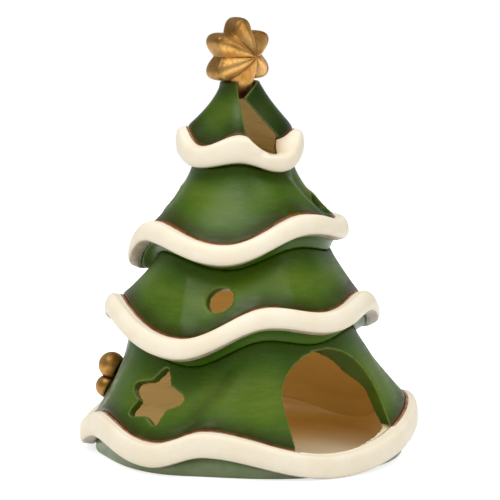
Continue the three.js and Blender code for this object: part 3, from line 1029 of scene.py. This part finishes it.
def star_rows(rows_across):
    """The (share, side, dome) of each ring: down the front, round the edge and up the back."""
    flat = 1 - STAR.rounding
    rows = [(row / rows_across * flat, -1, 1) for row in range(1, rows_across + 1)]
    for row in range(1, STAR_EDGE_ROWS):
        turn = math.pi * row / STAR_EDGE_ROWS
        rows.append((flat + STAR.rounding * math.sin(turn) ** 0.5, -math.cos(turn), 0))
    return rows + [(row / rows_across * flat, 1, 1) for row in range(rows_across, 0, -1)]


def star_object(name, grow=0, steps=STAR_STEPS, rows_across=STAR_ROWS):
    turn = np.arange(steps) * 2 * math.pi / steps
    reach, half = star_edge(turn, grow)
    rings = [np.array([[0, -STAR.front - grow, 0]])]
    for share, side, dome in star_rows(rows_across):
        height = (STAR.front if side < 0 else STAR.back) + grow
        along = min(1, share / (1 - STAR.rounding))
        depth = blend(half, height, 1 - along**STAR.doming) if dome else abs(side) * half
        valley = np.power(1 - np.abs(np.cos(3 * turn)), STAR_VALLEY.sharpness)
        valley = valley * along**STAR_VALLEY.rise * (1 - along) ** STAR_VALLEY.fall
        depth = depth - (STAR_VALLEY.in_seat if grow else STAR_VALLEY.depth) * valley * dome
        x = share * reach * np.sin(turn)
        z = share * reach * np.cos(turn)
        rings.append(np.stack([x, np.sign(side) * depth, z], axis=1))
    rings.append(np.array([[0, STAR.back + grow, 0]]))
    points = np.concatenate(rings)
    faces = []
    last = len(points) - 1
    middle_rings = len(rings) - 2
    for i in range(steps):
        k = (i + 1) % steps
        faces.append((0, 1 + k, 1 + i))
        for row in range(middle_rings - 1):
            here = 1 + row * steps
            faces.append((here + i, here + k, here + steps + k, here + steps + i))
        end = 1 + (middle_rings - 1) * steps
        faces.append((end + i, end + k, last))
    return link_mesh(name, star_place(points), faces), points


def star_seat():
    return star_object("star_seat", CLEARANCE, SEAT_STEPS, SEAT_ROWS)[0]


def star_topper():
    obj, points = star_object("star_topper_gilt")
    turn = np.arctan2(points[:, 0], points[:, 2])
    radius = np.hypot(points[:, 0], points[:, 2])
    arm = np.abs(np.cos(3 * turn))
    outer = radius / star_edge(turn, 0)[0]
    groove = np.exp(-arm * radius / GOLD.groove) * ease(*GOLD.middle, radius)
    groove = groove * ease(*GOLD.tip, outer)
    # Painted shade on the star's bottom arm, which sits down in the cone's slot
    paint(obj, groove=groove, edge=ease(*GOLD.edge, outer), dusk=ease(*GOLD.root, -points[:, 2]))
    return obj


def berry_middle(berry):
    height = height_at(BOTTOM_TIER, berry.up)
    wall = wall_reach(BOTTOM_TIER, np.array([float(berry.at)]), height)[0]
    middle = heading(berry.at) * (wall + berry.radius - berry.sink)
    middle[2] = height
    return middle


def berry_object(name):
    """A ball pressed flat against the skirt and its neighbours."""
    berry = BERRIES[name]
    middle = berry_middle(berry)
    work = bmesh.new()
    bmesh.ops.create_icosphere(work, subdivisions=5, radius=berry.radius)
    points = np.array([vert.co for vert in work.verts]) + middle
    seam = np.full(len(points), FAR)
    for other in BERRIES:
        if other == name:
            continue
        gap = berry_middle(BERRIES[other]) - middle
        length = np.linalg.norm(gap)
        limit = length * berry.radius / (berry.radius + BERRIES[other].radius) - CLEARANCE / 4
        along = (points - middle) @ gap / length
        points = points - np.maximum(0, along - limit)[:, None] * gap / length
        seam = np.minimum(seam, limit - along)
    across, at, height = polar(points)
    bed = wall_reach(BOTTOM_TIER, at, height) + CLEARANCE
    seam = np.minimum(seam, across - bed)
    points[:, :2] *= np.maximum(1, bed / across)[:, None]
    for vert, point in zip(work.verts, points):
        vert.co = Vector(point * MM)
    mesh = bpy.data.meshes.new(name)
    work.to_mesh(mesh)
    work.free()
    obj = new_object(name + "_gilt", mesh)
    groove = np.exp(-np.maximum(0, seam) / GOLD.berry_seam)
    # The berries' gold is darker all over
    paint(obj, groove=groove, dusk=np.full(len(points), GOLD.berry_dusk))
    return obj


# Materials
def colour(red, green, blue):
    """A screen colour, 0 to 255, as a shader's."""
    channels = []
    for value in (red, green, blue):
        share = value / 255
        channels.append(share / 12.92 if share <= 0.04045 else ((share + 0.055) / 1.055) ** 2.4)
    return (*channels, 1)


class Graph:
    """Short names for building the nodes of a material or a world."""

    def __init__(self, owner):
        owner.use_nodes = True
        self.owner = owner
        self.tree = owner.node_tree

    def feed(self, node, inputs):
        """Gives a node its inputs: values, other nodes' outputs, or the names of painted data."""
        for key, value in inputs.items():
            if isinstance(value, (int, float, tuple)):
                node.inputs[key].default_value = value
                continue
            if isinstance(value, str):
                value = self.node("ShaderNodeAttribute", {}, "Fac", attribute_name=value)
            self.tree.links.new(value, node.inputs[key])

    def node(self, kind, inputs, output, **settings):
        """Adds a node, feeds its inputs and returns one of its outputs."""
        made = self.tree.nodes.new(kind)
        for key, value in settings.items():
            setattr(made, key, value)
        self.feed(made, inputs)
        return made.outputs[output]

    def ray(self, kind):
        return self.node("ShaderNodeLightPath", {}, kind)

    def maths(self, operation, first, second):
        return self.node("ShaderNodeMath", {0: first, 1: second}, 0, operation=operation)

    def times(self, first, second):
        return self.maths("MULTIPLY", first, second)

    def most(self, first, second):
        return self.maths("MAXIMUM", first, second)

    def total(self, *terms):
        """The sum of some values, each given with its weight."""
        whole = 0.0
        for value, weight in terms:
            inputs = {0: value, 1: weight, 2: whole}
            whole = self.node("ShaderNodeMath", inputs, 0, operation="MULTIPLY_ADD")
        return whole

    def ramp(self, value, low, high, full=1.0, least=0.0):
        """Eases from the least at the low value to full at the high one."""
        inputs = {"Value": value, "From Min": low, "From Max": high, "To Min": least, "To Max": full}
        return self.node("ShaderNodeMapRange", inputs, "Result", interpolation_type="SMOOTHSTEP")

    def noise(self, size, detail=3.0, rough=0.55, stretch=(1.0, 1.0, 1.0)):
        """Noise with blotches of about that size in millimetres."""
        place = self.node("ShaderNodeTexCoord", {}, "Object")
        scaled = self.node("ShaderNodeMapping", {"Vector": place, "Scale": stretch}, "Vector")
        inputs = {"Vector": scaled, "Scale": 1 / (size * MM), "Detail": detail, "Roughness": rough}
        return self.node("ShaderNodeTexNoise", inputs, "Fac")

    def mix(self, share, first, second, kind="RGBA"):
        """Blends two numbers or two colours. A colour written out is (red, green, blue) from 0 to 255."""
        ends = [colour(*value) if isinstance(value, tuple) else value for value in (first, second)]
        inputs = {"Factor": share, "A": ends[0], "B": ends[1]}
        return self.node("ShaderNodeMix", inputs, "Result", data_type=kind)

    def surface(self, base, rough, relief, depth, strength, **levels):
        """Feeds the material's shader. The relief becomes a bump of a depth in millimetres."""
        inputs = {"Height": relief, "Distance": depth * MM, "Strength": strength}
        bump = self.node("ShaderNodeBump", inputs, "Normal")
        shader = self.tree.nodes["Principled BSDF"]
        self.feed(shader, {"Base Color": base, "Roughness": rough, "Normal": bump})
        self.feed(shader, {name.replace("_", " "): level for name, level in levels.items()})
        return self.owner


def clay_colour(graph):
    """The fired clay inside, with faint throwing rings, made paler by painted light where the light through
    the openings falls.
    """
    rings = graph.noise(3.5, 3.0, 0.6, (0.15, 0.15, 1.6))
    clay = graph.mix(graph.noise(16), (212, 174, 92), (222, 186, 106))
    clay = graph.mix("daylight", clay, (252, 238, 184))
    return graph.mix(graph.ramp(rings, 0.45, 0.7, 0.2), clay, (204, 160, 84))


def green_glaze():
    """Brushed green with a painted highlight on the open panels, a dark wash in the creases and bare clay
    inside.
    """
    graph = Graph(bpy.data.materials.new("green_glaze"))
    cloud = graph.noise(42, 2.0)
    brush = graph.noise(3.0, 4.0, 0.6, (0.35, 0.35, 1.8))
    grain = graph.noise(0.8, 2.0, 0.6)
    outside = graph.maths("SUBTRACT", 1.0, "under")
    # Painted highlight: lighter towards the middle of each open panel, away from the neck and the hem
    panel_highlight = graph.times(graph.ramp("share", 0.08, 0.5), graph.ramp("above_hem", 2.0, 15.0))
    panel_highlight = graph.times(panel_highlight, graph.ramp(cloud, 0.3, 0.66, least=0.4))
    panel_highlight = graph.times(panel_highlight, graph.ramp(brush, 0.42, 0.66, 0.75, 0.5))
    glaze = graph.mix(graph.ramp(cloud, 0.3, 0.65), (50, 86, 6), (64, 98, 10))
    glaze = graph.mix(panel_highlight, glaze, (104, 126, 26))
    glaze = graph.mix(graph.ramp(brush, 0.5, 0.72, 0.2), glaze, (82, 100, 28))
    glaze = graph.mix(graph.ramp(grain, 0.58, 0.7, 0.3), glaze, (128, 116, 50))
    wash = graph.most(graph.ramp("above_hem", 8.5, 0.0), graph.ramp("below_neck", 7.0, 0.5, 0.35))
    wash = graph.most(wash, graph.ramp("hollow", 0.3, 2.2, 0.55))
    wash = graph.times(wash, graph.ramp(graph.noise(8), 0.25, 0.6, 0.8, 0.5))
    glaze = graph.mix(graph.times(wash, outside), glaze, (50, 38, 6))
    broken = graph.ramp(graph.noise(5, 2.0), 0.35, 0.6, least=0.35)
    seam = graph.times(graph.ramp("above_hem", 0.8, 0.4, 0.75), broken)
    glaze = graph.mix(graph.times(seam, outside), glaze, (148, 84, 20))
    glaze = graph.mix(graph.times("shaded", 0.75), glaze, (18, 36, 3))
    # Painted highlight along the outer edge of each cut
    glaze = graph.mix(graph.ramp("lip", 0.3, 0.9, 0.6), glaze, (118, 130, 64))
    base = graph.mix("inside", glaze, clay_colour(graph))
    base = graph.mix("sill", base, (246, 234, 204))
    rough = graph.total((graph.ramp(brush, 0.3, 0.7, 0.44, 0.3), 1.0), ("inside", 0.35))
    relief = graph.total((cloud, 4.0), (brush, 0.5), (grain, 0.12))
    return graph.surface(base, rough, relief, 0.3, 0.6, Specular_IOR_Level=0.3)


def dish_glaze():
    """Pale grey-green outside; on the floor, a painted pool of light, pale cream where the light through the
    arch falls.
    """
    graph = Graph(bpy.data.materials.new("dish_glaze"))
    cloud = graph.noise(20)
    brush = graph.noise(3.0, 4.0, 0.6, (0.45, 0.45, 1.7))
    grain = graph.noise(0.8, 2.0, 0.6)
    green = graph.mix(graph.ramp(cloud, 0.3, 0.65), (104, 122, 70), (126, 142, 100))
    green = graph.mix(graph.ramp(brush, 0.45, 0.7, 0.4), green, (126, 142, 100))
    cream = graph.mix(cloud, (248, 234, 200), (252, 242, 216))
    cream = graph.mix(graph.ramp(grain, 0.5, 0.7, 0.15), cream, (220, 190, 140))
    # Painted pool of light on the floor, cream where the light through the arch falls
    inner = graph.mix("floor", clay_colour(graph), cream)
    base = graph.mix("inside", green, inner)
    rough = graph.ramp(brush, 0.3, 0.7, 0.44, 0.3)
    return graph.surface(base, rough, graph.total((cloud, 3.0), (brush, 0.5)), 0.3, 0.6)


def cream_glaze():
    """Satin cream, with the brown line of the wash along both edges of the bead."""
    graph = Graph(bpy.data.materials.new("cream_glaze"))
    cloud = graph.noise(18)
    brush = graph.noise(2.4, 3.0, 0.6, (0.6, 0.6, 2.0))
    grain = graph.noise(0.7, 2.0)
    wander = graph.ramp(graph.noise(4, 2.0), 0.3, 0.7, least=0.75)
    base = graph.mix(graph.ramp(cloud, 0.35, 0.65), (250, 239, 216), (246, 233, 206))
    base = graph.mix(graph.ramp(brush, 0.5, 0.75, 0.25), base, (238, 222, 190))
    base = graph.mix(graph.ramp("shade", 0.1, 1.0), base, (170, 128, 70))
    for edge, stain, full in [("from_top", (140, 76, 14), 1.0), ("from_foot", (96, 58, 20), 0.65)]:
        line = graph.times(graph.ramp(edge, 1.3, 0.7, full), wander)
        base = graph.mix(line, base, stain)
    rough = graph.ramp(brush, 0.3, 0.7, 0.5, 0.36)
    relief = graph.total((cloud, 3.0), (brush, 0.4), (grain, 0.08))
    return graph.surface(base, rough, relief, 0.25, 0.5)


def gold_lustre():
    """Brushed antique gold, dark in the grooves and round the edges, with painted shade on the star's bottom
    arm and the berries darker all over.
    """
    graph = Graph(bpy.data.materials.new("gold_lustre"))
    cloud = graph.noise(7)
    brush = graph.noise(1.1, 4.0, 0.65, (1.0, 1.0, 0.5))
    gold = graph.mix(graph.ramp(cloud, 0.35, 0.65), (204, 148, 72), (236, 186, 108))
    gold = graph.mix(graph.ramp(brush, 0.5, 0.7, 0.4), gold, (140, 86, 30))
    dark = graph.most(graph.times("groove", 0.9), graph.times("edge", 0.5))
    # Painted shade on the star's bottom arm; the berries are darker all over
    base = graph.mix(graph.most(dark, "dusk"), gold, (66, 32, 8))
    rough = graph.ramp(brush, 0.3, 0.7, 0.55, 0.41)
    return graph.surface(base, rough, graph.total((cloud, 1.0), (brush, 0.3)), 0.25, 0.6, Metallic=0.8)


def dress(obj, material, node_name):
    obj.data.shade_smooth()
    obj.data.materials.clear()
    obj.data.materials.append(material)
    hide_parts(node_name)
    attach(obj, "root")


def build_tree():
    green = green_glaze()
    cream = cream_glaze()
    gold = gold_lustre()
    dish = ring_object("base_dish_glazed", dish_section(round_angles()))
    paint_dish(dish)
    dress(dish, dish_glaze(), "base_dish")
    tiers = {"bottom": BOTTOM_TIER, "lower_middle": LOWER_TIER, "upper_middle": UPPER_TIER, "top": TOP_TIER}
    for place, tier in tiers.items():
        skirt = "cone_top" if tier is TOP_TIER else "skirt_" + place
        dress(skirt_object(skirt + "_glazed", tier), green, skirt)
    for place, tier in tiers.items():
        dress(hem_object("hem_" + place + "_glazed", tier), cream, "hem_" + place)
    for name in BERRIES:
        dress(berry_object(name), gold, name)
    dress(star_topper(), gold, "star_topper")


# Stage
CAMERA = Sizes(azimuth=-36, elevation=8.3, distance=1750, lens=275.6, sensor=36)
AIM = Sizes(height=100, right=3.2, down=6.7)
FLOOR = Sizes(reach=900, corners=96, glow=0.74, shade=0.72)
KEY_LAMP = Sizes(azimuth=-75, elevation=62, distance=1300, size=800, watts=6)
FILL_LAMP = Sizes(azimuth=5, elevation=55, distance=1500, size=800, watts=3)
INNER_GLOW = Sizes(height=60, size=20, watts=0.019)
WHITE = (1, 1, 1, 1)

# The world lights things at one level, and mirrors as bright on one side and dim on the other
WORLD_LIGHT = 0.76
MIRRORED = Sizes(dim_side=(-0.42, -0.57, 0.707), edge=0.35, dim=0.06, bright=0.6)


def add_camera():
    back = Vector(heading(CAMERA.azimuth, CAMERA.elevation))
    right = Vector(heading(CAMERA.azimuth + 90))
    up = back.cross(right)
    aim = Vector((0, 0, AIM.height)) + right * AIM.right - up * AIM.down
    camera = new_object("camera", bpy.data.cameras.new("camera"))
    camera.data.lens = CAMERA.lens
    camera.data.sensor_width = CAMERA.sensor
    camera.data.clip_end = 20
    camera.location = (aim + back * CAMERA.distance) * MM
    camera.rotation_euler = back.to_track_quat("Z", "Y").to_euler()
    bpy.context.scene.camera = camera


def add_floor():
    """A pale floor that keeps the tree's shadow and shows white to the camera and in reflections."""
    turns = np.arange(FLOOR.corners) * 2 * math.pi / FLOOR.corners
    corners = [(math.cos(turn) * FLOOR.reach, math.sin(turn) * FLOOR.reach, 0) for turn in turns]
    obj = link_mesh("floor", corners, [range(FLOOR.corners)])
    graph = Graph(bpy.data.materials.new("floor_white"))
    graph.tree.nodes.remove(graph.tree.nodes["Principled BSDF"])
    diffuse = graph.node("ShaderNodeBsdfDiffuse", {"Color": (FLOOR.shade, FLOOR.shade, FLOOR.shade, 1)}, 0)
    seen = graph.most(graph.ray("Is Camera Ray"), graph.ray("Is Glossy Ray"))
    glow = graph.node("ShaderNodeEmission", {"Color": WHITE, "Strength": graph.times(seen, FLOOR.glow)}, 0)
    both = graph.node("ShaderNodeAddShader", {0: diffuse, 1: glow}, 0)
    graph.feed(graph.tree.nodes["Material Output"], {"Surface": both})
    obj.data.materials.append(graph.owner)


def add_world():
    """White all round to the camera. What it mirrors is bright behind the tree and dim before it."""
    graph = Graph(bpy.data.worlds.new("studio"))
    bpy.context.scene.world = graph.owner
    place = graph.node("ShaderNodeTexCoord", {}, "Generated")
    inputs = {0: place, 1: MIRRORED.dim_side}
    toward = graph.node("ShaderNodeVectorMath", inputs, "Value", operation="DOT_PRODUCT")
    mirrored = graph.ramp(toward, -MIRRORED.edge, MIRRORED.edge, MIRRORED.dim, MIRRORED.bright)
    light = graph.mix(graph.ray("Is Camera Ray"), WORLD_LIGHT, 1, "FLOAT")
    light = graph.mix(graph.ray("Is Glossy Ray"), light, mirrored, "FLOAT")
    graph.feed(graph.tree.nodes["Background"], {"Color": WHITE, "Strength": light})


def add_lamp(name, lamp):
    """A soft round lamp that faces the tree."""
    out = Vector(heading(lamp.azimuth, lamp.elevation))
    obj = new_object(name, bpy.data.lights.new(name, "AREA"))
    obj.data.shape = "DISK"
    obj.data.size = lamp.size * MM
    obj.data.energy = lamp.watts
    obj.location = (out * lamp.distance + Vector((0, 0, AIM.height))) * MM
    obj.rotation_euler = out.to_track_quat("Z", "Y").to_euler()


def add_glow():
    """A faint lamp inside, in place of the light that bounces in through every opening."""
    obj = new_object("glow", bpy.data.lights.new("glow", "POINT"))
    obj.data.shadow_soft_size = INNER_GLOW.size * MM
    obj.data.energy = INNER_GLOW.watts
    obj.location = (0, 0, INNER_GLOW.height * MM)


build_tree()
add_camera()
add_floor()
add_world()
add_lamp("key", KEY_LAMP)
add_lamp("fill", FILL_LAMP)
add_glow()
bpy.context.scene.view_settings.view_transform = "Standard"
